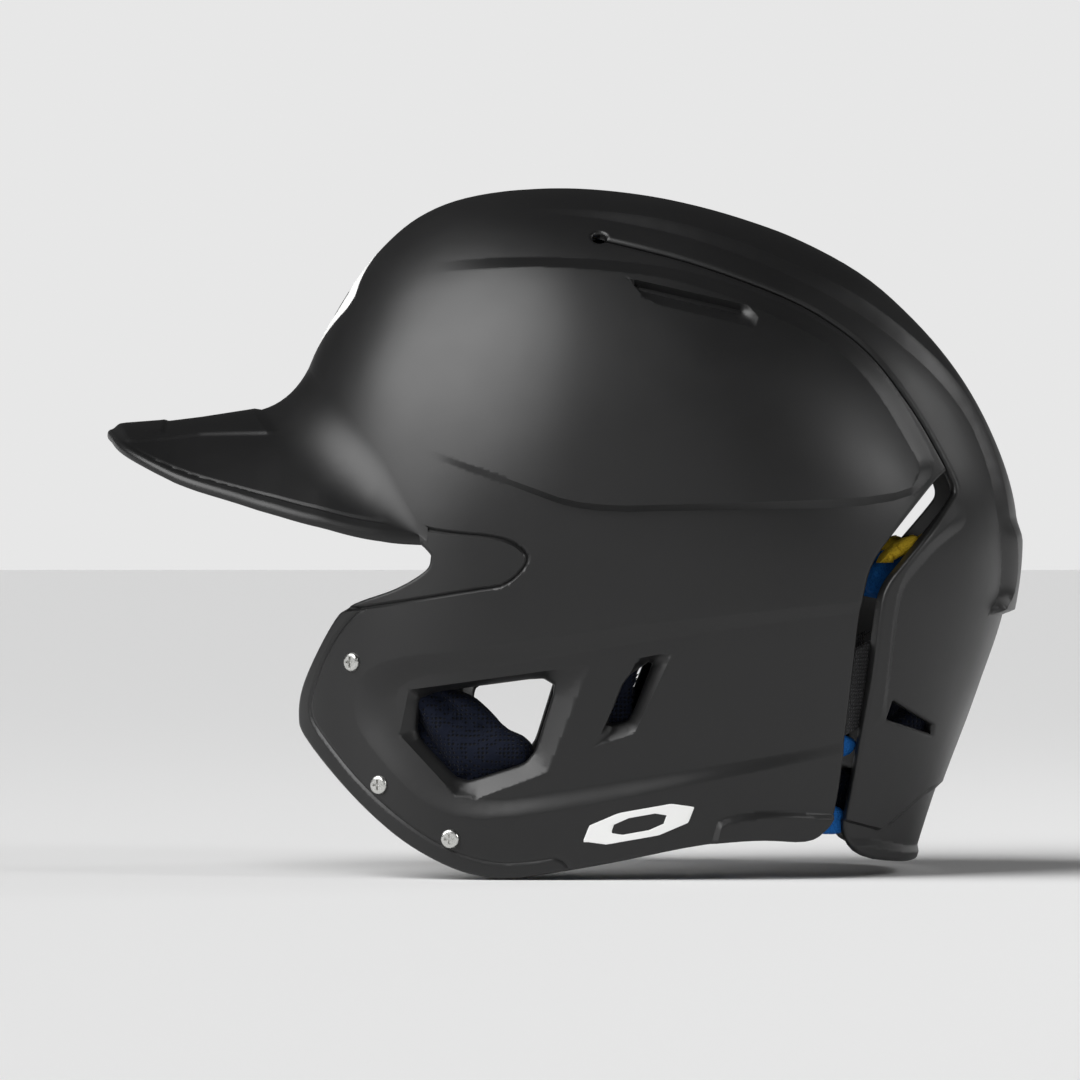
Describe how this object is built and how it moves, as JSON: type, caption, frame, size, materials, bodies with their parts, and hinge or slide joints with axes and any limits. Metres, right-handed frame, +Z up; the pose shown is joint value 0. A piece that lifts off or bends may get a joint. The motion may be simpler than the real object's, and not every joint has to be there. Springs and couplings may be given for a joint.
{
  "type": "batting helmet",
  "caption": "Baseball batting helmet with a curved bill, a jaw guard on the left, vented ear flaps, and a split rear panel that flexes open on elastic straps.",
  "frame": {"origin": "centre of the overall box in plan, at the height of the lowest point, which is the bottom of the jaw guard", "axes": "+Z up through the crown, -X out over the bill, -Y to the wearer's left, the jaw guard's side"},
  "size_m": [0.3032, 0.1948, 0.2277],
  "materials": {
    "shell_black": "moulded plastic with a matte black soft-sheen coat",
    "plastic_black": "plain moulded black plastic",
    "steel": "plated steel screws and nuts",
    "foam_ochre": "closed-cell firm foam, ochre yellow",
    "foam_blue": "closed-cell soft foam, bright blue",
    "fabric_navy": "knitted mesh cover over soft foam, navy",
    "elastic_black": "woven elastic webbing, black",
    "print_white": "thin white printed film"
  },
  "bodies": {
    "front": {"crown_pad_comfort": "foam_blue", "crown_pad_firm": "foam_ochre", "ear_foam_left": "foam_blue", "ear_foam_right": "foam_blue", "ear_pad_left": "fabric_navy", "ear_pad_right": "fabric_navy", "flap_emblem": "print_white", "forehead_emblem": "print_white", "forehead_pad_comfort": "foam_blue", "forehead_pad_firm": "foam_ochre", "front_shell": "shell_black", "jaw_nut_lower": "steel", "jaw_nut_middle": "steel", "jaw_nut_upper": "steel", "jaw_pad": "fabric_navy", "jaw_pad_plate": "plastic_black", "jaw_screw_lower": "steel", "jaw_screw_middle": "steel", "jaw_screw_upper": "steel", "side_pad_left_comfort": "foam_blue", "side_pad_left_firm": "foam_ochre", "side_pad_right_comfort": "foam_blue", "side_pad_right_firm": "foam_ochre", "strap_clamp_left_front": "plastic_black", "strap_clamp_right_front": "plastic_black", "strap_left": "elastic_black", "strap_right": "elastic_black", "strap_screw_left_front": "steel", "strap_screw_right_front": "steel"},
    "rear": {"nape_pad": "fabric_navy", "rear_pad_left_comfort": "foam_blue", "rear_pad_left_firm": "foam_ochre", "rear_pad_right_comfort": "foam_blue", "rear_pad_right_firm": "foam_ochre", "rear_shell": "shell_black", "strap_clamp_left_rear": "plastic_black", "strap_clamp_right_rear": "plastic_black", "strap_screw_left_rear": "steel", "strap_screw_right_rear": "steel"}
  },
  "joints": [
    {"name": "rear_flex", "type": "hinge", "parent": "front", "child": "rear", "pos_m": [0.012, 0, 0.2264], "axis": [0, -1, 0], "range_deg": [0, 5], "stiffness_Nm_per_rad": 40, "deforming": ["strap_left", "strap_right"]}
  ]
}
